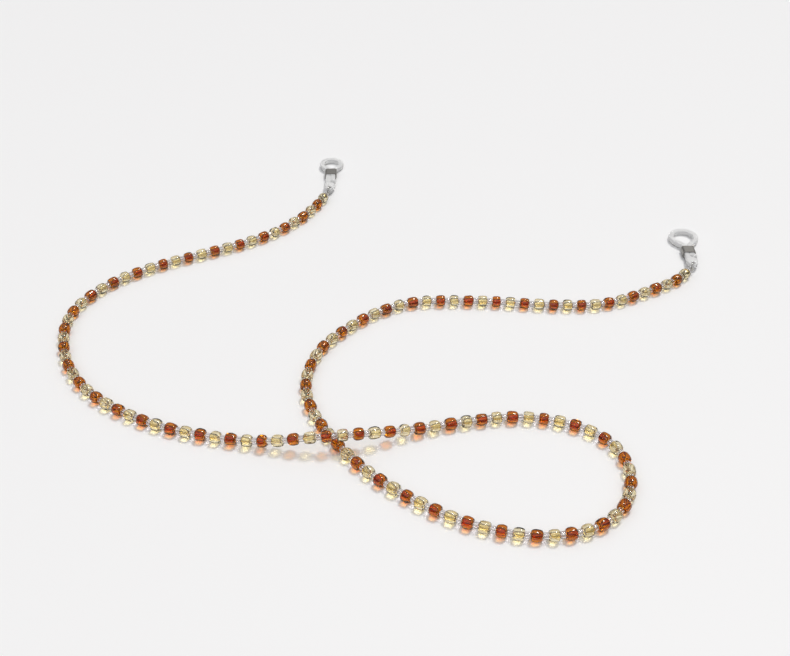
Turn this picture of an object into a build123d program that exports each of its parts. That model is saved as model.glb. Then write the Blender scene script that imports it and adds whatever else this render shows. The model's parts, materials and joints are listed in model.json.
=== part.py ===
"""Beaded eyeglass retainer strap: glass beads on one thread, with an adjustable silicone temple loop at each end.

Millimetres. +Z is up and z = 0 is the surface the strap lies on. The origin is under the middle of the strap's box,
+X runs along its longest side, and the two temple loops lie at the back (+Y) with their flat faces down.
"""

import math
import os

from build123d import *

# ---- driving dimensions ------------------------------------------------------------------------------------------
LARGE_D = 4.0  # size 6/0 glass bead, outside
LARGE_HOLE_D = 1.5
LARGE_LENGTHS = (3.2, 3.0, 3.3, 3.2, 3.5, 3.1, 3.2, 3.0, 3.4)  # glass is cut by eye, so no two neighbours match
LARGE_EDGE = 1.0  # how far the melted edge rounds each end
LARGE_RIM = 0.35  # flat ring left round the hole at each end
LARGE_SHOULDER = (0.28, 0.52)  # middle of the rounded edge: in from the crown, and out from where the edge starts
LARGE_BELLY = (0.04, 0.1)  # how far the middle swells, and how far in from the edge that starts
SPACER_D = 2.15  # size 11/0 clear spacer
SPACER_HOLE_D = 1.0
SPACER_LENGTH = 1.6
SPACER_EDGE = 0.3
LARGE_COUNT = 133  # champagne and amber in turn, champagne at both ends
STRETCHES = 12  # the beads between the two ends, in this many runs

THREAD_D = 0.4
REST_Z = LARGE_D / 2  # height of the thread while the beads lie on the surface
STRAND_OFFSET = 0.22  # each of the two strands side by side inside a crimp, from the crimp's axis
CRIMP_D = 1.35
CRIMP_BORE_D = 1.0
CRIMP_LENGTH = 2.0

RING_WIRE_D = 0.6
RING_R = 1.65  # to the middle of the wire
EYE_OFFSET = 0.56  # thread's middle from the wire's middle, where the thread turns round the ring
EYE_ROOM = 1.1  # from the wire to the first spacer

STRAP_D = 1.9  # silicone cord, square with rounded edges
STRAP_EDGE = 0.45
STRAP_LENGTH = 44.2  # moulded length from the paddle to the stop ball
STRAND_SPACING = 2.0  # between the two runs of cord inside the sleeve
PADDLE_THICK = 1.5
PADDLE_HOLE_D = 1.5
PADDLE_EDGE = 0.5
NECK_Y = 3.9  # where the cord leaves the paddle
PADDLE_OUTLINE = ((0.0, 0.0, 1.6), (0.0, 1.9, 2.25), (-1.0, 4.0, 0.95))  # x, y and radius of three rounds
BALL_R = 1.25
BALL_SIDE = 1.3  # the ball sits this far off the fitting's middle line, clear of the neck
BEND_R = 1.5  # where the two runs part above the sleeve
SPLAY_DEG = 42.0  # each run's slope as it leaves the sleeve for the loop

SLEEVE_LENGTH = 4.0
SLEEVE_WALL = 0.35
SLEEVE_ROOM = 0.1  # between cord and sleeve
SLEEVE_EDGE = 0.5

# Each end: where the thread turns round the ring, the way the strand arrives there, the way the ring stands, and how
# its loop is set. The tilt lays the far end of the loop on the surface.
ENDS = {
    "left": {
        "wire": (-27.2, 76.8),
        "strand_deg": 66.0,
        "ring_deg": 80.0,
        "tilt_deg": 2.4,
        "loop_inner_r": 3.0,
        "sleeve_from": 10.2,
        "bend_at": 14.9,
    },
    "right": {
        "wire": (109.4, 24.6),
        "strand_deg": 44.0,
        "ring_deg": 67.0,
        "tilt_deg": 2.5,
        "loop_inner_r": 3.65,
        "sleeve_from": 6.7,
        "bend_at": 12.5,
    },
}

# The strand's route between its two ends, in plan. It sweeps round on the left, passes over its own far run in a low
# hump, rounds the near loop, goes under the hump and leaves for the right-hand end.
ROUTE = [
    (-35.9, 59.4, REST_Z),
    (-45.9, 48.4, REST_Z),
    (-58.9, 40.4, REST_Z),
    (-72.4, 34.4, REST_Z),
    (-86.4, 27.9, REST_Z),
    (-99.9, 19.4, REST_Z),
    (-109.9, 8.4, REST_Z),
    (-114.9, -4.6, REST_Z),
    (-112.9, -19.6, REST_Z),
    (-106.9, -33.6, REST_Z),
    (-97.4, -44.6, REST_Z),
    (-84.9, -53.1, REST_Z),
    (-71.9, -59.1, REST_Z),
    (-56.9, -63.1, REST_Z),
    (-41.4, -66.1, 2.6),
    (-24.9, -67.6, 6.3),
    (-9.9, -66.1, 6.3),
    (5.1, -60.6, 2.6),
    (20.6, -56.6, REST_Z),
    (36.1, -53.6, REST_Z),
    (52.1, -55.6, REST_Z),
    (64.6, -62.1, REST_Z),
    (71.1, -73.6, REST_Z),
    (69.1, -89.6, REST_Z),
    (58.6, -100.1, REST_Z),
    (45.1, -103.1, REST_Z),
    (33.1, -102.1, REST_Z),
    (18.1, -97.1, REST_Z),
    (5.1, -89.1, REST_Z),
    (-7.9, -78.6, REST_Z),
    (-17.4, -67.1, REST_Z),
    (-26.4, -52.6, REST_Z),
    (-29.9, -37.6, REST_Z),
    (-26.4, -22.1, REST_Z),
    (-18.4, -11.6, REST_Z),
    (-7.9, -1.6, REST_Z),
    (5.6, 5.4, REST_Z),
    (21.6, 5.9, REST_Z),
    (35.6, 5.4, REST_Z),
    (56.6, 2.9, REST_Z),
    (76.1, 3.4, REST_Z),
    (94.1, 12.9, REST_Z),
]

# One end of the thread, from its cut tail to the free strand: distance back from the ring's wire, and side step.
# The tail runs out through the crimp, turns round the wire and comes back beside itself.
EYE_STEPS = [
    (5.7, -STRAND_OFFSET),
    (4.2, -STRAND_OFFSET + 0.01),
    (2.7, -STRAND_OFFSET - 0.01),
    (1.2, -STRAND_OFFSET),
    (0.6, -EYE_OFFSET),
    (-EYE_OFFSET, -EYE_OFFSET),
    (-EYE_OFFSET, EYE_OFFSET),
    (0.6, EYE_OFFSET),
    (1.2, STRAND_OFFSET),
    (2.7, STRAND_OFFSET + 0.01),
    (5.8, STRAND_OFFSET - 0.01),
    (12.0, STRAND_OFFSET),
]


def direction(degrees):
    """Unit vector in plan, at this many degrees from +X."""
    return Vector(math.cos(math.radians(degrees)), math.sin(math.radians(degrees)), 0)


def wire_point(end):
    return Vector(*end["wire"], REST_Z)


def eye_points(end):
    """The end's eye, from the tail to the free strand."""
    back = direction(end["strand_deg"] + 180)
    side = direction(end["strand_deg"] + 90)
    return [wire_point(end) + back * away + side * step for away, step in EYE_STEPS]


def thread_points():
    start = eye_points(ENDS["left"])
    finish = eye_points(ENDS["right"])[::-1]
    return start + [Vector(*p) for p in ROUTE] + finish


def corner_radius(before, corner, after):
    """The largest arc that leaves a tenth of the shorter run straight."""
    run_in = corner - before
    run_out = after - corner
    turn = math.radians(run_in.get_angle(run_out))
    return 0.45 * min(run_in.length, run_out.length) / math.tan(turn / 2)


def thread_path():
    points = thread_points()
    radii = [corner_radius(*points[i - 1 : i + 2]) for i in range(1, len(points) - 1)]
    print("thread arc radii:", ", ".join(f"{r:.1f}" for r in radii))
    return Wire(FilletPolyline(*points, radius=radii).edges())


def thread(path):
    section = Plane(origin=path @ 0, z_dir=path % 0) * Circle(THREAD_D / 2)
    tube = sweep(section, path=path)
    whole = math.pi * THREAD_D**2 / 4 * path.length
    print(f"thread length {path.length:.1f} mm, volume {tube.volume:.2f} against {whole:.2f} mm3")
    return tube


def large_bead(length):
    """A drawn glass tube cut short and tumbled hot: a barrel with rounded ends and a straight hole, along Z."""
    crown = LARGE_D / 2
    hole = LARGE_HOLE_D / 2
    half = length / 2
    flat = half - LARGE_EDGE
    rim = hole + LARGE_RIM
    swell, inset = LARGE_BELLY
    side = crown - swell
    shoulder = (crown - LARGE_SHOULDER[0], flat + LARGE_SHOULDER[1])
    outline = Polyline((hole, -half), (rim, -half))
    outline += ThreePointArc((rim, -half), (shoulder[0], -shoulder[1]), (side, inset - flat))
    outline += ThreePointArc((side, inset - flat), (crown, 0), (side, flat - inset))
    outline += ThreePointArc((side, flat - inset), shoulder, (rim, half))
    outline += Polyline((rim, half), (hole, half), (hole, -half))
    return revolve(Plane.XZ * make_face(outline), Axis.Z)


def spacer_bead():
    body = Cylinder(SPACER_D / 2, SPACER_LENGTH)
    body = fillet(body.edges().filter_by(GeomType.CIRCLE), SPACER_EDGE)
    return body - Cylinder(SPACER_HOLE_D / 2, SPACER_LENGTH)


def large_length(number):
    """Length of large bead number 1, 2, 3 ... counted from the left-hand end."""
    return LARGE_LENGTHS[number % len(LARGE_LENGTHS)]


def turn_length(end, path, from_start):
    """Length of thread in one end that isn't free strand: its tail and its turn, up to level with the ring's wire."""
    away = direction(end["strand_deg"] + 180)
    level = 5.0  # a place on the straight of the free strand, found by halving
    low, high = level + 2.5, 4 * level
    while high - low > 1e-4:
        middle = (low + high) / 2
        along = middle if from_start else path.length - middle
        if (path.position_at(along, PositionMode.LENGTH) - wire_point(end)).dot(away) < level:
            low = middle
        else:
            high = middle
    return low - level


def strand_layout(free_length):
    """(kind, number, middle) of every bead along the free strand, measured from the left-hand ring's wire."""
    lengths = [large_length(n) for n in range(1, LARGE_COUNT + 1)]
    glass = sum(lengths) + (LARGE_COUNT + 1) * SPACER_LENGTH
    gap = (free_length - 2 * EYE_ROOM - glass) / (2 * LARGE_COUNT)
    print(f"free strand {free_length:.1f} mm, slack between beads {gap:.3f} mm")
    beads = []
    at = EYE_ROOM
    for number, length in enumerate(lengths, start=1):
        beads.append(("spacer", number, at + SPACER_LENGTH / 2))
        at += SPACER_LENGTH + gap
        beads.append(("champagne" if number % 2 else "amber", number, at + length / 2))
        at += length + gap
    beads.append(("spacer", LARGE_COUNT + 1, at + SPACER_LENGTH / 2))
    return beads


def strand_node(kind, number):
    """The node that a bead belongs to: its own at either end, or one of its stretch's three groups."""
    last = LARGE_COUNT + (kind == "spacer")
    for side, place in (("left", number), ("right", last + 1 - number)):
        if place <= 2:
            name = ("end_spacer", "second_spacer")[place - 1] if kind == "spacer" else f"{kind}_bead"
            return f"{side}_{name}"
    stretch = 1 + (number - 3) * STRETCHES // (LARGE_COUNT - 3)
    group = {"spacer": "clear_spacers", "champagne": "champagne_beads", "amber": "amber_beads"}[kind]
    return f"{group}_{stretch:02d}"


def bead_place(path, start, free_length, node, at):
    """Where a bead sits: on the thread, or at either end on the crimp's axis, which the doubled thread shares."""
    for side, away in (("left", at), ("right", free_length - at)):
        if node.startswith(side):
            end = ENDS[side]
            out = direction(end["strand_deg"])
            return Plane(origin=wire_point(end) - out * away, z_dir=out).location
    middle = path.position_at(start + at, PositionMode.LENGTH)
    return Plane(origin=middle, z_dir=path.tangent_at(start + at, PositionMode.LENGTH)).location


def strung_beads(path):
    """Every bead on the thread, as a dictionary from node name to its solids."""
    start = turn_length(ENDS["left"], path, True)
    free_length = path.length - start - turn_length(ENDS["right"], path, False)
    spacer = spacer_bead()
    large = {length: large_bead(length) for length in LARGE_LENGTHS}
    nodes = {}
    for kind, number, at in strand_layout(free_length):
        node = strand_node(kind, number)
        bead = spacer if kind == "spacer" else large[large_length(number)]
        nodes.setdefault(node, []).append(bead_place(path, start, free_length, node, at) * bead)
    return nodes


def crimp_tube():
    return Cylinder(CRIMP_D / 2, CRIMP_LENGTH) - Cylinder(CRIMP_BORE_D / 2, CRIMP_LENGTH)


def jump_ring(end):
    """A closed round wire ring that stands upright between the thread's eye and the paddle's hole."""
    middle = wire_point(end) + direction(end["ring_deg"]) * RING_R
    stand = Plane(origin=middle, z_dir=direction(end["ring_deg"] + 90))
    return stand * Torus(RING_R, RING_WIRE_D / 2)


def fitting_place(end):
    """Where the loop fitting lies: its hole round the ring's far side, pointing back, tilted down to the surface."""
    hole = wire_point(end) + direction(end["ring_deg"]) * (2 * RING_R)
    return Location(hole) * Location((0, 0, 0), (-end["tilt_deg"], 0, 0))


def loop_centre_y(end):
    """Middle of the loop's round part, in the fitting's own frame."""
    radius = end["loop_inner_r"] + STRAP_D / 2
    splay = math.radians(SPLAY_DEG)
    return end["bend_at"] + (radius - math.cos(splay) * STRAND_SPACING / 2) / math.sin(splay)


def cord_path(end):
    """The silicone cord's middle line: up through the sleeve, round the loop and back down to the stop ball."""
    radius = end["loop_inner_r"] + STRAP_D / 2
    splay = math.radians(SPLAY_DEG)
    half = STRAND_SPACING / 2
    centre = loop_centre_y(end)
    touch_x = radius * math.cos(splay)
    touch_y = centre - radius * math.sin(splay)
    up = FilletPolyline((-half, NECK_Y), (-half, end["bend_at"]), (-touch_x, touch_y), radius=BEND_R)
    over = ThreePointArc((-touch_x, touch_y), (0, centre + radius), (touch_x, touch_y))
    used = up.length + over.length + (up.length - (end["bend_at"] - NECK_Y))
    ball_y = end["bend_at"] - (STRAP_LENGTH - used)
    down = FilletPolyline((touch_x, touch_y), (half, end["bend_at"]), (half, ball_y), radius=BEND_R)
    return Wire(up.edges() + over.edges() + down.edges()), ball_y


def silicone_loop(end):
    """One moulded piece: a flat paddle with the ring's hole, a cord that makes the temple loop, and a stop ball."""
    rounds = [Pos(x, y) * Circle(r) for x, y, r in PADDLE_OUTLINE]
    outline = make_hull(Sketch(children=rounds).edges())
    paddle = extrude(outline, PADDLE_THICK / 2, both=True)
    flat_edges = paddle.edges().group_by(Axis.Z)
    paddle = fillet(flat_edges[0] + flat_edges[-1], PADDLE_EDGE)
    paddle -= Cylinder(PADDLE_HOLE_D / 2, 4 * PADDLE_THICK)
    path, ball_y = cord_path(end)
    start = Plane(origin=path @ 0, x_dir=(1, 0, 0), z_dir=path % 0)
    cord = sweep(start * RectangleRounded(STRAP_D, STRAP_D, STRAP_EDGE), path=path)
    ball = Pos(BALL_SIDE, ball_y, 0) * Sphere(BALL_R)
    return paddle + cord + ball


def loop_sleeve(end):
    """Oval steel tube that holds the two runs of cord together and slides to set the loop's size."""
    inner_x = STRAND_SPACING + STRAP_D + 2 * SLEEVE_ROOM
    inner_z = STRAP_D + 2 * SLEEVE_ROOM
    wall = 2 * SLEEVE_WALL
    bore = RectangleRounded(inner_x, inner_z, SLEEVE_EDGE)
    shell = RectangleRounded(inner_x + wall, inner_z + wall, SLEEVE_EDGE + SLEEVE_WALL)
    start = Plane(origin=(0, end["sleeve_from"], 0), x_dir=(1, 0, 0), z_dir=(0, 1, 0))
    return extrude(start * (shell - bore), SLEEVE_LENGTH)


def save(node, shape):
    shape.label = node
    export_step(shape, f"parts/{node}.step")


def main():
    os.makedirs("parts", exist_ok=True)
    path = thread_path()
    save("beading_thread", thread(path))
    for node, solids in strung_beads(path).items():
        save(node, solids[0] if len(solids) == 1 else Compound(solids))
    for side, end in ENDS.items():
        bead_middle = EYE_ROOM + SPACER_LENGTH + large_length(1) / 2
        out = direction(end["strand_deg"])
        inside = Plane(origin=wire_point(end) - out * bead_middle, z_dir=out)
        save(f"{side}_crimp_tube", inside.location * crimp_tube())
        save(f"{side}_jump_ring", jump_ring(end))
        save(f"{side}_silicone_loop", fitting_place(end) * silicone_loop(end))
        save(f"{side}_loop_sleeve", fitting_place(end) * loop_sleeve(end))


main()
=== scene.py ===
"""A beaded glasses strap laid on a pale table: glass, thread, silicone and steel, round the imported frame."""

import json
import math

import bpy
import numpy as np
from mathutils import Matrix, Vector


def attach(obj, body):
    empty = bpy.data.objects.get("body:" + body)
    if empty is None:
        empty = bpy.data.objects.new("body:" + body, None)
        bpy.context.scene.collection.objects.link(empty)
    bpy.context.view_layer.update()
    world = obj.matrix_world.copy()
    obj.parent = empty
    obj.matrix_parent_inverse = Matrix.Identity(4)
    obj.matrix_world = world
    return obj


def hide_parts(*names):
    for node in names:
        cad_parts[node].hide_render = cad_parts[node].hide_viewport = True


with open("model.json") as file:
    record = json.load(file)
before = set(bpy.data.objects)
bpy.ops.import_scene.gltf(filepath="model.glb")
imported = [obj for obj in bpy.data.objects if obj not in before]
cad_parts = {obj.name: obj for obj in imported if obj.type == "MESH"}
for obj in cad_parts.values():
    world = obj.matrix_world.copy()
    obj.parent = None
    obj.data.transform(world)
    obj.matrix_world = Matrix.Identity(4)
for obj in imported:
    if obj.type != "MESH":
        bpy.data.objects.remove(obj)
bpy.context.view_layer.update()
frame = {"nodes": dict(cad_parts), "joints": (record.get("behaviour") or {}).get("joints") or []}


# ---- Table, light and camera -----------------------------------------------------------------------------
# A plain pale table top, lit from high behind on the right and weakly from in front on the left, in a
# room that is bright overhead and dark low down. The camera looks down from in front, as from a chair.

CAMERA_PLACE = (0.0, -0.3156, 0.2515)
CAMERA_DOWN_DEG = 39.2
CAMERA_LENS_MM = 52.0
TABLE_HALF = 30.0  # m
TABLE_GREY = "#F4F4F4"
ROOM_LIGHT = 0.6
DARK_BELOW = 0.12  # how far up the room, from level 0 to overhead 1, it stays dark
BRIGHT_ABOVE = 0.62
LAMPS = (  # name, place it shines from, spread, strength, colour
    ("key_lamp", (0.28, 0.42, 1.0), 14, 1.5, "#FFFDFA"),
    ("front_lamp", (-0.35, -0.6, 1.0), 60, 0.3, "#F8FAFF"),
)


def linear(hex_colour):
    """An sRGB hex colour as linear RGBA."""
    parts = [int(hex_colour[i : i + 2], 16) / 255 for i in (1, 3, 5)]
    return (*[p / 12.92 if p <= 0.04045 else ((p + 0.055) / 1.055) ** 2.4 for p in parts], 1.0)


def add_node(tree, kind, settings=None, **inputs):
    """One node: settings are its own properties, and inputs, by name or as in0, take values or links."""
    made = tree.nodes.new(kind)
    for name, value in (settings or {}).items():
        setattr(made, name, value)
    for name, value in inputs.items():
        if name[:2] == "in" and name[2:].isdigit():
            socket = made.inputs[int(name[2:])]
        else:
            socket = next(s for s in made.inputs if s.enabled and s.name.replace(" ", "_") == name)
        if isinstance(value, bpy.types.NodeSocket):
            tree.links.new(value, socket)
        else:
            socket.default_value = value
    return made


def new_material(name):
    """A node material with only its output node, as (material, its tree, the output)."""
    material = bpy.data.materials.new(name)
    material.use_nodes = True
    material.node_tree.nodes.clear()
    return material, material.node_tree, material.node_tree.nodes.new("ShaderNodeOutputMaterial")


camera = bpy.data.objects.new("camera", bpy.data.cameras.new("camera"))
camera.data.lens = CAMERA_LENS_MM
camera.data.clip_start = 0.01
camera.location = CAMERA_PLACE
camera.rotation_euler = (math.radians(90 - CAMERA_DOWN_DEG), 0, 0)
bpy.context.scene.collection.objects.link(camera)
bpy.context.scene.camera = camera

# Matt lacquer: an even pale grey with hardly any shine.
table_paint, tree, output = new_material("matt_white_table_lacquer")
surface = add_node(
    tree, "ShaderNodeBsdfPrincipled", Base_Color=linear(TABLE_GREY), Roughness=0.55, Specular_IOR_Level=0.25
)
tree.links.new(surface.outputs[0], output.inputs["Surface"])
table_mesh = bpy.data.meshes.new("table_top")
corners = [(x * TABLE_HALF, y * TABLE_HALF, 0) for x, y in ((-1, -1), (1, -1), (1, 1), (-1, 1))]
table_mesh.from_pydata(corners, [], [(0, 1, 2, 3)])
table_mesh.materials.append(table_paint)
table = bpy.data.objects.new("table_top", table_mesh)
bpy.context.scene.collection.objects.link(table)

world = bpy.data.worlds.new("studio")
bpy.context.scene.world = world
world.use_nodes = True
backdrop = world.node_tree.nodes["Background"]
sky = add_node(world.node_tree, "ShaderNodeTexCoord")
upward = add_node(world.node_tree, "ShaderNodeSeparateXYZ", Vector=sky.outputs["Generated"])
overhead = add_node(world.node_tree, "ShaderNodeValToRGB", in0=upward.outputs[2])
overhead.color_ramp.elements[0].position = DARK_BELOW
overhead.color_ramp.elements[0].color = linear("#3C3A38")
overhead.color_ramp.elements[1].position = BRIGHT_ABOVE
overhead.color_ramp.elements[1].color = linear("#FAFAFC")
world.node_tree.links.new(overhead.outputs[0], backdrop.inputs["Color"])
backdrop.inputs["Strength"].default_value = ROOM_LIGHT

for name, place, spread_deg, strength, colour in LAMPS:
    lamp = bpy.data.objects.new(name, bpy.data.lights.new(name, "SUN"))
    lamp.data.angle = math.radians(spread_deg)
    lamp.data.energy = strength
    lamp.data.color = linear(colour)[:3]
    lamp.location = place
    lamp.rotation_euler = (-Vector(place)).to_track_quat("-Z", "Y").to_euler()
    bpy.context.scene.collection.objects.link(lamp)

bpy.context.scene.view_settings.view_transform = "Standard"


# ---- Beading thread --------------------------------------------------------------------------------------
# One clear nylon monofilament that carries every bead. At each end it comes out of the crimp, turns
# round the jump ring's wire and goes back in beside itself, so the crimp holds two strands.

MM = 0.001
THREAD_D = 0.4 * MM
NYLON_CLOUDS_PER_MM = 0.9
REST = 2.0  # mm, the thread's height while the beads lie on the table
EYE = 0.56  # mm, the thread's middle from the wire's middle, where it turns round the ring
SIDE = 0.22  # mm, each of the two strands from the crimp's axis
ENDS = {
    "left": {"wire": (-27.2, 76.8), "strand_deg": 66.0},
    "right": {"wire": (109.4, 24.6), "strand_deg": 44.0},
}
EYE_STEPS = [  # mm back from the wire along the strand, and mm to the side
    (5.7, -SIDE),
    (4.2, -SIDE + 0.01),
    (2.7, -SIDE - 0.01),
    (1.2, -SIDE),
    (0.5, -EYE),
    (-0.1, -EYE - 0.06),
    (-EYE - 0.04, -EYE),
    (-EYE - 0.04, EYE),
    (-0.1, EYE + 0.06),
    (0.5, EYE),
    (1.2, SIDE),
    (2.7, SIDE + 0.01),
    (5.8, SIDE - 0.01),
    (12.0, SIDE),
]
ROUTE = [  # mm, from the left end to the right
    (-35.9, 59.4, REST),
    (-45.9, 48.4, REST),
    (-58.9, 40.4, REST),
    (-72.4, 34.4, REST),
    (-86.4, 27.9, REST),
    (-99.9, 19.4, REST),
    (-109.9, 8.4, REST),
    (-114.9, -4.6, REST),
    (-112.9, -19.6, REST),
    (-106.9, -33.6, REST),
    (-97.4, -44.6, REST),
    (-84.9, -53.1, REST),
    (-71.9, -59.1, REST),
    (-56.9, -63.1, REST),
    (-41.4, -66.1, 2.6),
    (-24.9, -67.6, 6.3),
    (-9.9, -66.1, 6.3),
    (5.1, -60.6, 2.6),
    (20.6, -56.6, REST),
    (36.1, -53.6, REST),
    (52.1, -55.6, REST),
    (64.6, -62.1, REST),
    (71.1, -73.6, REST),
    (69.1, -89.6, REST),
    (58.6, -100.1, REST),
    (45.1, -103.1, REST),
    (33.1, -102.1, REST),
    (18.1, -97.1, REST),
    (5.1, -89.1, REST),
    (-7.9, -78.6, REST),
    (-17.4, -67.1, REST),
    (-26.4, -52.6, REST),
    (-29.9, -37.6, REST),
    (-26.4, -22.1, REST),
    (-18.4, -11.6, REST),
    (-7.9, -1.6, REST),
    (5.6, 5.4, REST),
    (21.6, 5.9, REST),
    (35.6, 5.4, REST),
    (56.6, 2.9, REST),
    (76.1, 3.4, REST),
    (94.1, 12.9, REST),
]


def heading(degrees):
    """The level direction at this angle from the x axis."""
    return Vector((math.cos(math.radians(degrees)), math.sin(math.radians(degrees)), 0))


def eye_points(end):
    """One end of the thread, from its cut tail round the ring's wire to the free strand."""
    wire = Vector((*end["wire"], REST))
    back = heading(end["strand_deg"] + 180)
    side = heading(end["strand_deg"] + 90)
    return [wire + back * away + side * step for away, step in EYE_STEPS]


points = eye_points(ENDS["left"]) + [Vector(p) for p in ROUTE] + eye_points(ENDS["right"])[::-1]
line = bpy.data.curves.new("beading_thread_line", "CURVE")
line.dimensions = "3D"
spline = line.splines.new("NURBS")
spline.points.add(len(points) - 1)
for control, point in zip(spline.points, points):
    control.co = (*(point * MM), 1.0)
spline.order_u = 3
spline.use_endpoint_u = True
spline.resolution_u = 16
thread_piece = bpy.data.objects.new("nylon_beading_thread", line)
bpy.context.scene.collection.objects.link(thread_piece)
path_mesh = bpy.data.meshes.new_from_object(thread_piece)
path = np.array([v.co for v in path_mesh.vertices])
bpy.data.meshes.remove(path_mesh)
along = np.concatenate([[0], np.cumsum(np.linalg.norm(np.diff(path, axis=0), axis=1))])

# Nylon monofilament: whitish and half clear, with a soft shine.
nylon, tree, output = new_material("clear_nylon_monofilament")
grain = add_node(tree, "ShaderNodeTexNoise", Scale=NYLON_CLOUDS_PER_MM / MM, Detail=3.0)
tint = add_node(
    tree,
    "ShaderNodeMix",
    {"data_type": "RGBA"},
    in0=grain.outputs[0],
    in6=linear("#F7F5EE"),
    in7=linear("#D9D4C8"),
)
surface = add_node(
    tree,
    "ShaderNodeBsdfPrincipled",
    Base_Color=tint.outputs[2],
    Roughness=0.22,
    IOR=1.53,
    Transmission_Weight=0.55,
)
tree.links.new(surface.outputs[0], output.inputs["Surface"])
line.bevel_depth = THREAD_D / 2
line.bevel_resolution = 2
line.materials.append(nylon)
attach(thread_piece, "strand")
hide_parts("beading_thread")


# ---- Large glass beads -----------------------------------------------------------------------------------
# Size 6/0 glass beads, champagne and amber in turn: drawn glass tube chopped and tumbled hot, so each is
# a rounded barrel of its own length, with a straight hole and faint streaks along the way it was drawn.

LARGE_D = 4.0  # mm, as every size here
LARGE_HOLE_D = 1.5
LARGE_LENGTHS = (3.2, 3.0, 3.3, 3.2, 3.5, 3.1, 3.2, 3.0, 3.4)
LARGE_COUNT = 133
LARGE_LUMPS = 0.5  # the range over which the unevenness pushes the surface, along each axis
LARGE_SQUARENESS = 0.92  # 1 is a round wall, less is squarer
LARGE_STEPS = (26, 18)  # faces round the bead and round its wall
GIRTH_SPREAD = 0.03  # the thinnest bead is this much under full size
SPACER_LENGTH = 1.6
EYE_ROOM = 1.1  # from the ring's wire to the first spacer
LEVEL_BACK = 5.0  # where both of a crimp's strands run straight
LUMPS_PER_MM = 0.42
SEED = 7
STREAKS_PER_MM = 2.2
ALONG_HOLE = 0.12  # the streaks' count along the hole against the count across it
STREAK_BAND = (0.38, 0.56)  # the pattern's levels for full streak and for none
DEEPEST = 0.45  # how far the darkest bead goes towards its deep colour
PAINTED_EDGE_BAND = (0.25, 0.85)  # from facing the eye, 0, to edge on, 1: where the painted edge shade comes in
SHADE_BAND = (0.06, 0.5)  # the same towards a lamp: where the light that comes through fades
GLASS_IOR = 1.52


def thread_place(distance):
    """The thread's place at this distance along it, in metres."""
    return Vector([np.interp(distance, along, path[:, k]) for k in range(3)])


def at_distance(distance):
    """The thread's place and direction at this distance along it."""
    step = THREAD_D
    ahead = thread_place(distance + step)
    behind = thread_place(distance - step)
    return thread_place(distance), (ahead - behind).normalized()


def turn_length(end, from_start):
    """Thread used by one end's tail and turn, up to level with the ring's wire."""
    wire = Vector((*end["wire"], REST)) * MM
    away = heading(end["strand_deg"] + 180)
    level = LEVEL_BACK * MM
    order = range(len(path)) if from_start else range(len(path) - 1, -1, -1)
    total = along[-1]
    turned = False
    before = None
    for i in order:
        out = (Vector(path[i]) - wire).dot(away)
        used = along[i] if from_start else total - along[i]
        turned = turned or out < 0
        if turned and out >= level:
            share = (level - before[0]) / (out - before[0])
            return before[1] + share * (used - before[1]) - level
        before = (out, used)
    raise ValueError("the thread never leaves the ring")


free_from = turn_length(ENDS["left"], True)
free_length = along[-1] - free_from - turn_length(ENDS["right"], False)
lengths = [LARGE_LENGTHS[n % len(LARGE_LENGTHS)] for n in range(1, LARGE_COUNT + 1)]
glass = (sum(lengths) + (LARGE_COUNT + 1) * SPACER_LENGTH + 2 * EYE_ROOM) * MM
gap = (free_length - glass) / (2 * LARGE_COUNT)

layout = {"champagne": [], "amber": [], "spacer": []}  # (number, middle along the thread, length)
reached = free_from + EYE_ROOM * MM
for number, length in enumerate(lengths, start=1):
    layout["spacer"].append((number, reached + SPACER_LENGTH * MM / 2, SPACER_LENGTH))
    reached += SPACER_LENGTH * MM + gap
    kind = "champagne" if number % 2 else "amber"
    layout[kind].append((number, reached + length * MM / 2, length))
    reached += length * MM + gap
layout["spacer"].append((LARGE_COUNT + 1, reached + SPACER_LENGTH * MM / 2, SPACER_LENGTH))


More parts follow.
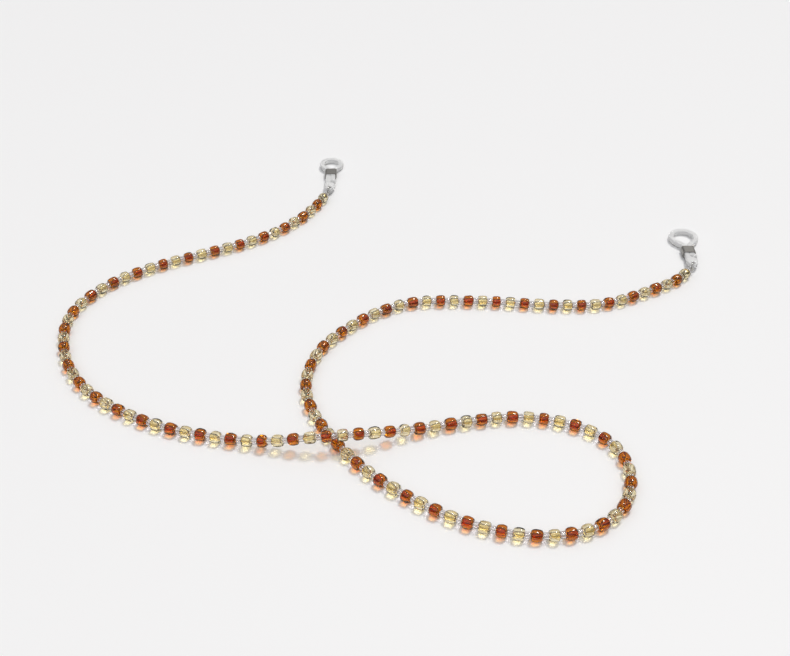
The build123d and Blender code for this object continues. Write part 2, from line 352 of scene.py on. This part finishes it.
def bead_tree(name, squareness, steps, material):
    """Geometry Nodes: a ring-shaped bead at every point, turned to its axis and a little uneven."""
    tree = bpy.data.node_groups.new(name, "GeometryNodeTree")
    tree.interface.new_socket("Geometry", in_out="INPUT", socket_type="NodeSocketGeometry")
    for label in ("Outside", "Hole", "Lumps"):
        tree.interface.new_socket(label, in_out="INPUT", socket_type="NodeSocketFloat")
    round_steps, section_steps = steps
    tree.interface.new_socket("Geometry", in_out="OUTPUT", socket_type="NodeSocketGeometry")
    given = tree.nodes.new("NodeGroupInput")
    outside, hole, lump = (given.outputs[k] for k in ("Outside", "Hole", "Lumps"))

    def maths(operation, a, b=0.0):
        return add_node(tree, "ShaderNodeMath", {"operation": operation}, in0=a, in1=b).outputs[0]

    def named(label, kind):
        return add_node(tree, "GeometryNodeInputNamedAttribute", {"data_type": kind}, Name=label).outputs[0]

    # The wall's cross-section: a circle pushed towards a rectangle, as thick as the wall and 1 mm long.
    ring = add_node(tree, "GeometryNodeCurvePrimitiveCircle", Resolution=section_steps, Radius=1.0)
    place = add_node(tree, "GeometryNodeInputPosition")
    split = add_node(tree, "ShaderNodeSeparateXYZ", Vector=place.outputs[0])
    half_wall = maths("MULTIPLY", maths("SUBTRACT", outside, hole), 0.25)
    squared = []
    for part in (split.outputs[0], split.outputs[1]):
        bowed = maths("POWER", maths("ABSOLUTE", part), squareness)
        squared.append(maths("MULTIPLY", maths("SIGN", part), bowed))
    across = maths("MULTIPLY", squared[0], half_wall)
    endways = maths("MULTIPLY", squared[1], MM / 2)
    shaped = add_node(tree, "ShaderNodeCombineXYZ", X=across, Y=endways)
    section = add_node(tree, "GeometryNodeSetPosition", Geometry=ring.outputs[0], Position=shaped.outputs[0])
    middle = maths("MULTIPLY", maths("ADD", outside, hole), 0.25)
    sweep = add_node(tree, "GeometryNodeCurvePrimitiveCircle", Resolution=round_steps, Radius=middle)
    bead = add_node(tree, "GeometryNodeCurveToMesh", Curve=sweep.outputs[0], Profile_Curve=section.outputs[0])
    kept = add_node(
        tree,
        "GeometryNodeStoreNamedAttribute",
        {"data_type": "FLOAT_VECTOR", "domain": "POINT"},
        Geometry=bead.outputs[0],
        Name="bead_place",
        Value=place.outputs[0],
    )
    axis = named("axis", "FLOAT_VECTOR")
    aligned = add_node(tree, "FunctionNodeAlignRotationToVector", {"axis": "Z"}, Vector=axis)
    strung = add_node(
        tree,
        "GeometryNodeInstanceOnPoints",
        Points=given.outputs["Geometry"],
        Instance=kept.outputs[0],
        Rotation=aligned.outputs[0],
    )
    spun = add_node(
        tree,
        "GeometryNodeRotateInstances",
        Instances=strung.outputs[0],
        Rotation=add_node(tree, "ShaderNodeCombineXYZ", Z=named("spin", "FLOAT")).outputs[0],
    )
    size = add_node(
        tree,
        "ShaderNodeCombineXYZ",
        X=named("girth", "FLOAT"),
        Y=named("girth", "FLOAT"),
        Z=named("length", "FLOAT"),
    )
    sized = add_node(tree, "GeometryNodeScaleInstances", Instances=spun.outputs[0], Scale=size.outputs[0])
    real = add_node(tree, "GeometryNodeRealizeInstances", Geometry=sized.outputs[0])
    bumps = add_node(
        tree, "ShaderNodeTexNoise", Vector=place.outputs[0], Scale=LUMPS_PER_MM / MM, Detail=1.0
    )
    centred = add_node(
        tree, "ShaderNodeVectorMath", {"operation": "SUBTRACT"}, in0=bumps.outputs[1], in1=(0.5, 0.5, 0.5)
    )
    pushed = add_node(
        tree, "ShaderNodeVectorMath", {"operation": "SCALE"}, in0=centred.outputs[0], Scale=lump
    )
    uneven = add_node(tree, "GeometryNodeSetPosition", Geometry=real.outputs[0], Offset=pushed.outputs[0])
    smooth = add_node(tree, "GeometryNodeSetShadeSmooth", Geometry=uneven.outputs[0])
    painted = add_node(tree, "GeometryNodeSetMaterial", Geometry=smooth.outputs[0], Material=material)
    tree.links.new(painted.outputs[0], tree.nodes.new("NodeGroupOutput").inputs[0])
    return tree


def string_beads(name, beads, tree, sizes, girth_spread):
    """A plain mesh of beads, each (number, place, axis, length in mm), with the tree's sizes in mm."""
    points = bpy.data.meshes.new(name + "_points")
    points.from_pydata([tuple(b[1]) for b in beads], [], [])
    chance = np.random.default_rng(SEED + beads[0][0])
    values = {
        "length": [b[3] for b in beads],
        "girth": 1 - girth_spread * chance.random(len(beads)),
        "spin": chance.random(len(beads)) * math.tau,
        "number": [b[0] for b in beads],
    }
    for label, numbers in values.items():
        points.attributes.new(label, "FLOAT", "POINT").data.foreach_set("value", [float(v) for v in numbers])
    axes = np.array([b[2] for b in beads], float).ravel()
    points.attributes.new("axis", "FLOAT_VECTOR", "POINT").data.foreach_set("vector", axes)
    carrier = bpy.data.objects.new(name + "_points", points)
    bpy.context.scene.collection.objects.link(carrier)
    modifier = carrier.modifiers.new("beads", "NODES")
    modifier.node_group = tree
    for item in tree.interface.items_tree:
        if item.in_out == "INPUT" and item.name in sizes:
            modifier[item.identifier] = sizes[item.name] * MM
    graph = bpy.context.evaluated_depsgraph_get()
    mesh = bpy.data.meshes.new_from_object(carrier.evaluated_get(graph))
    bpy.data.objects.remove(carrier)
    bpy.data.meshes.remove(points)
    mesh.name = name
    piece = bpy.data.objects.new(name, mesh)
    bpy.context.scene.collection.objects.link(piece)
    return piece


def bead_glass(name, roughness, light, deep, streak, painted_edge_shade, core_shadow, rim_shadow):
    """Drawn soda glass: clear and tinted, streaked along the draw, with painted shade at its edges, and it
    lets tinted lamp light through.
    """
    material, tree, output = new_material(name)
    place = add_node(tree, "ShaderNodeAttribute", {"attribute_name": "bead_place"})
    number = add_node(tree, "ShaderNodeAttribute", {"attribute_name": "number"})
    drawn = add_node(
        tree,
        "ShaderNodeVectorMath",
        {"operation": "MULTIPLY"},
        in0=place.outputs[1],
        in1=(1.0, 1.0, ALONG_HOLE),
    )
    apart = add_node(tree, "ShaderNodeCombineXYZ", Z=number.outputs[2])
    moved = add_node(
        tree, "ShaderNodeVectorMath", {"operation": "ADD"}, in0=drawn.outputs[0], in1=apart.outputs[0]
    )
    streaks = add_node(
        tree,
        "ShaderNodeTexNoise",
        Vector=moved.outputs[0],
        Scale=STREAKS_PER_MM / MM,
        Detail=2.0,
        Roughness=0.6,
    )
    banded = add_node(tree, "ShaderNodeValToRGB", in0=streaks.outputs[0])
    banded.color_ramp.elements[0].position = STREAK_BAND[0]
    banded.color_ramp.elements[0].color = streak
    banded.color_ramp.elements[1].position = STREAK_BAND[1]
    banded.color_ramp.elements[1].color = light
    tone = add_node(tree, "ShaderNodeTexWhiteNoise", {"noise_dimensions": "1D"}, W=number.outputs[2])
    toned = add_node(
        tree, "ShaderNodeMath", {"operation": "MULTIPLY"}, in0=tone.outputs[0], in1=DEEPEST
    )
    varied = add_node(
        tree, "ShaderNodeMix", {"data_type": "RGBA"}, in0=toned.outputs[0], in6=banded.outputs[0], in7=deep
    )
    # Painted shade: the glass colour turns to a darker edge colour where the surface is seen edge on.
    facing = add_node(tree, "ShaderNodeLayerWeight", Blend=0.5)
    painted_shade_mask = add_node(tree, "ShaderNodeMapRange", in0=facing.outputs[1], in1=PAINTED_EDGE_BAND[0], in2=PAINTED_EDGE_BAND[1])
    edge_shaded = add_node(
        tree, "ShaderNodeMix", {"data_type": "RGBA"}, in0=painted_shade_mask.outputs[0], in6=varied.outputs[2], in7=painted_edge_shade
    )
    glass = add_node(
        tree,
        "ShaderNodeBsdfPrincipled",
        Base_Color=edge_shaded.outputs[2],
        Roughness=roughness,
        IOR=GLASS_IOR,
        Transmission_Weight=1.0,
    )
    gathered = add_node(
        tree, "ShaderNodeMapRange", in0=facing.outputs[1], in1=SHADE_BAND[0], in2=SHADE_BAND[1]
    )
    shaded = add_node(
        tree, "ShaderNodeMix", {"data_type": "RGBA"}, in0=gathered.outputs[0], in6=core_shadow, in7=rim_shadow
    )
    through = add_node(tree, "ShaderNodeBsdfTransparent", Color=shaded.outputs[2])
    ray = add_node(tree, "ShaderNodeLightPath")
    mixed = add_node(
        tree,
        "ShaderNodeMixShader",
        in0=ray.outputs["Is Shadow Ray"],
        in1=glass.outputs[0],
        in2=through.outputs[0],
    )
    tree.links.new(mixed.outputs[0], output.inputs["Surface"])
    return material


# Pale straw glass, nearly clear, with painted olive shade at its edges.
champagne_glass = bead_glass(
    "champagne_soda_glass",
    roughness=0.03,
    light=linear("#FFF9E0"),
    deep=linear("#FAEDC0"),
    streak=linear("#E4CF98"),
    painted_edge_shade=linear("#B89E62"),
    core_shadow=linear("#FFF9DC"),
    rim_shadow=linear("#8E887C"),
)
# Orange-brown glass with dark streaks and painted dark brown shade at its edges: its colour builds up
# over the surfaces that light crosses, four of them through the hole.
amber_glass = bead_glass(
    "amber_soda_glass",
    roughness=0.02,
    light=linear("#F49612"),
    deep=linear("#E27A08"),
    streak=linear("#742A02"),
    painted_edge_shade=linear("#5E2202"),
    core_shadow=linear("#FFE68C"),
    rim_shadow=linear("#7A6A62"),
)

GLASS = {"champagne": champagne_glass, "amber": amber_glass}
large_sizes = {"Outside": LARGE_D, "Hole": LARGE_HOLE_D, "Lumps": LARGE_LUMPS}
large_trees = {
    kind: bead_tree(f"{kind}_bead_nodes", LARGE_SQUARENESS, LARGE_STEPS, material)
    for kind, material in GLASS.items()
}
joints = {joint["name"]: joint for joint in frame["joints"]}
END_NUMBERS = {"champagne": {1: "left", LARGE_COUNT: "right"}, "amber": {2: "left", LARGE_COUNT - 1: "right"}}
for kind, nodes in large_trees.items():
    own = END_NUMBERS[kind]
    strung = [(n, *at_distance(at), length) for n, at, length in layout[kind] if n not in own]
    piece = string_beads(f"{kind}_glass_beads", strung, nodes, large_sizes, GIRTH_SPREAD)
    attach(piece, "strand")
    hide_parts(*[node for node in frame["nodes"] if node.startswith(f"{kind}_beads_")])
    for number, side in own.items():
        joint = joints[f"{side}_{kind}_bead_spin"]
        bead = (number, Vector(joint["pos_m"]), Vector(joint["axis"]), lengths[number - 1])
        end_bead = string_beads(f"{side}_{kind}_glass_bead", [bead], nodes, large_sizes, GIRTH_SPREAD)
        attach(end_bead, f"{side}_{kind}_bead_body")
        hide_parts(f"{side}_{kind}_bead")


# ---- Clear spacer beads ----------------------------------------------------------------------------------
# Size 11/0 colourless glass, cut from thin drawn tube, one between each two large beads and one at each
# end. They keep the large beads apart and leave the thread showing as a fine line.

SPACER_D = 2.15
SPACER_HOLE_D = 1.0
SPACER_LUMPS = 0.15
SPACER_SQUARENESS = 0.5
SPACER_STEPS = (20, 14)
SPACER_GIRTH_SPREAD = 0.05
END_SPACER_GIRTH_SPREAD = 0.02

# Colourless glass: bright walls with painted grey shade at their edges.
clear_glass = bead_glass(
    "clear_soda_glass",
    roughness=0.03,
    light=linear("#FFFFFF"),
    deep=linear("#F6F0F0"),
    streak=linear("#E4DEE4"),
    painted_edge_shade=linear("#B8B0B6"),
    core_shadow=linear("#FFFFFF"),
    rim_shadow=linear("#98929A"),
)
spacer_sizes = {"Outside": SPACER_D, "Hole": SPACER_HOLE_D, "Lumps": SPACER_LUMPS}
spacer_tree = bead_tree("spacer_bead_nodes", SPACER_SQUARENESS, SPACER_STEPS, clear_glass)
SPACER_NAMES = {
    1: ("left", "end_spacer"),
    2: ("left", "second_spacer"),
    LARGE_COUNT: ("right", "second_spacer"),
    LARGE_COUNT + 1: ("right", "end_spacer"),
}
strung = [(n, *at_distance(at), length) for n, at, length in layout["spacer"] if n not in SPACER_NAMES]
spacers = string_beads("clear_glass_spacers", strung, spacer_tree, spacer_sizes, SPACER_GIRTH_SPREAD)
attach(spacers, "strand")
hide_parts(*[node for node in frame["nodes"] if node.startswith("clear_spacers_")])
for number, (side, name) in SPACER_NAMES.items():
    joint = joints[f"{side}_{name}_spin"]
    bead = (number, Vector(joint["pos_m"]), Vector(joint["axis"]), SPACER_LENGTH)
    end_spacer = string_beads(
        f"{side}_{name}_glass", [bead], spacer_tree, spacer_sizes, END_SPACER_GIRTH_SPREAD
    )
    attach(end_spacer, f"{side}_{name}_body")
    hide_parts(f"{side}_{name}")


# ---- Crimp tubes, jump rings and sleeves -----------------------------------------------------------------
# Small metal fittings: the crimp holds the doubled thread inside the last champagne bead, the jump ring
# joins the thread to the silicone, and the sleeve slides on the silicone cord to set the loop. They keep
# the frame's shapes.

MARK_DEPTH = 0.01  # mm
ROUGH_SPREAD = (0.75, 1.35)  # least and most roughness in the marks, against the given one


def worn_steel(name, colour, dark, roughness, grain_mm, stretch):
    """Tumbled, drawn or plated metal: grey, half glossy, with fine marks."""
    material, tree, output = new_material(name)
    place = add_node(tree, "ShaderNodeTexCoord")
    drawn = add_node(tree, "ShaderNodeMapping", Vector=place.outputs["Object"], Scale=stretch)
    marks = add_node(
        tree,
        "ShaderNodeTexNoise",
        Vector=drawn.outputs[0],
        Scale=1 / (grain_mm * MM),
        Detail=4.0,
        Roughness=0.65,
    )
    toned = add_node(tree, "ShaderNodeMix", {"data_type": "RGBA"}, in0=marks.outputs[0], in6=colour, in7=dark)
    rough = add_node(
        tree,
        "ShaderNodeMapRange",
        in0=marks.outputs[0],
        in3=roughness * ROUGH_SPREAD[0],
        in4=roughness * ROUGH_SPREAD[1],
    )
    bump = add_node(tree, "ShaderNodeBump", Strength=0.25, Distance=MARK_DEPTH * MM, Height=marks.outputs[0])
    metal = add_node(
        tree,
        "ShaderNodeBsdfPrincipled",
        Base_Color=toned.outputs[2],
        Metallic=1.0,
        Roughness=rough.outputs[0],
        Normal=bump.outputs[0],
    )
    tree.links.new(metal.outputs[0], output.inputs["Surface"])
    return material


# Steel wire, tumbled bright: half glossy with soft dents.
ring_steel = worn_steel(
    "tumbled_stainless_wire",
    linear("#CFCECB"),
    linear("#A8A6A2"),
    roughness=0.26,
    grain_mm=0.35,
    stretch=(1, 1, 1),
)
# Drawn steel tube: satin, with fine marks along the draw.
sleeve_steel = worn_steel(
    "satin_drawn_steel_tube",
    linear("#AFADA9"),
    linear("#85827D"),
    roughness=0.38,
    grain_mm=0.22,
    stretch=(1, 0.15, 1),
)
# Bright plating: glossier than the steel and a little warmer.
crimp_plate = worn_steel(
    "bright_plated_crimp",
    linear("#C9C6BE"),
    linear("#A19D94"),
    roughness=0.2,
    grain_mm=0.4,
    stretch=(1, 1, 1),
)
for side in ENDS:
    for node, material in (
        (f"{side}_jump_ring", ring_steel),
        (f"{side}_loop_sleeve", sleeve_steel),
        (f"{side}_crimp_tube", crimp_plate),
    ):
        piece = frame["nodes"][node]
        piece.data.materials.clear()
        piece.data.materials.append(material)


# ---- Silicone temple loops -------------------------------------------------------------------------------
# One translucent moulding per end: the flat paddle with the ring's hole, the soft square-edged cord that
# grips the temple, and the ball that stops the sleeve coming off.

CLOUDS_PER_MM = 0.42
SKIN_GRAINS_PER_MM = 3.8
SKIN_DEPTH = 0.02  # mm
LIGHT_DEPTH = 1.2  # mm that light spreads inside it
VOXEL = 0.13  # mm
SOFTENING = (0.5, 5)  # how much each pass evens out the surface, and how many passes

# Silicone rubber: milky white, light goes a little way in, and its moulded skin has a soft shine.
silicone, tree, output = new_material("translucent_moulded_silicone")
place = add_node(tree, "ShaderNodeTexCoord")
cloud = add_node(
    tree, "ShaderNodeTexNoise", Vector=place.outputs["Object"], Scale=CLOUDS_PER_MM / MM, Detail=2.0
)
milky = add_node(
    tree,
    "ShaderNodeMix",
    {"data_type": "RGBA"},
    in0=cloud.outputs[0],
    in6=linear("#FAFAF9"),
    in7=linear("#F1F1F0"),
)
skin = add_node(
    tree, "ShaderNodeTexNoise", Vector=place.outputs["Object"], Scale=SKIN_GRAINS_PER_MM / MM, Detail=3.0
)
bump = add_node(tree, "ShaderNodeBump", Strength=0.2, Distance=SKIN_DEPTH * MM, Height=skin.outputs[0])
rubber = add_node(
    tree,
    "ShaderNodeBsdfPrincipled",
    Base_Color=milky.outputs[2],
    Roughness=0.42,
    IOR=1.41,
    Transmission_Weight=0.3,
    Subsurface_Weight=0.5,
    Subsurface_Radius=(1.0, 1.0, 1.0),
    Subsurface_Scale=LIGHT_DEPTH * MM,
    Normal=bump.outputs[0],
)
tree.links.new(rubber.outputs[0], output.inputs["Surface"])
for side in ENDS:
    cad = frame["nodes"][f"{side}_silicone_loop"]
    loop = bpy.data.objects.new(f"{side}_silicone_temple_loop", cad.data.copy())
    bpy.context.scene.collection.objects.link(loop)
    loop.data.materials.clear()
    loop.data.materials.append(silicone)
    remesh = loop.modifiers.new("moulded", "REMESH")
    remesh.mode = "VOXEL"
    remesh.voxel_size = VOXEL * MM
    remesh.use_smooth_shade = True
    relax = loop.modifiers.new("softened", "SMOOTH")
    relax.factor, relax.iterations = SOFTENING
    graph = bpy.context.evaluated_depsgraph_get()
    moulded = bpy.data.meshes.new_from_object(loop.evaluated_get(graph))
    loop.modifiers.clear()
    loop.data = moulded
    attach(loop, f"{side}_loop")
    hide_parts(f"{side}_silicone_loop")
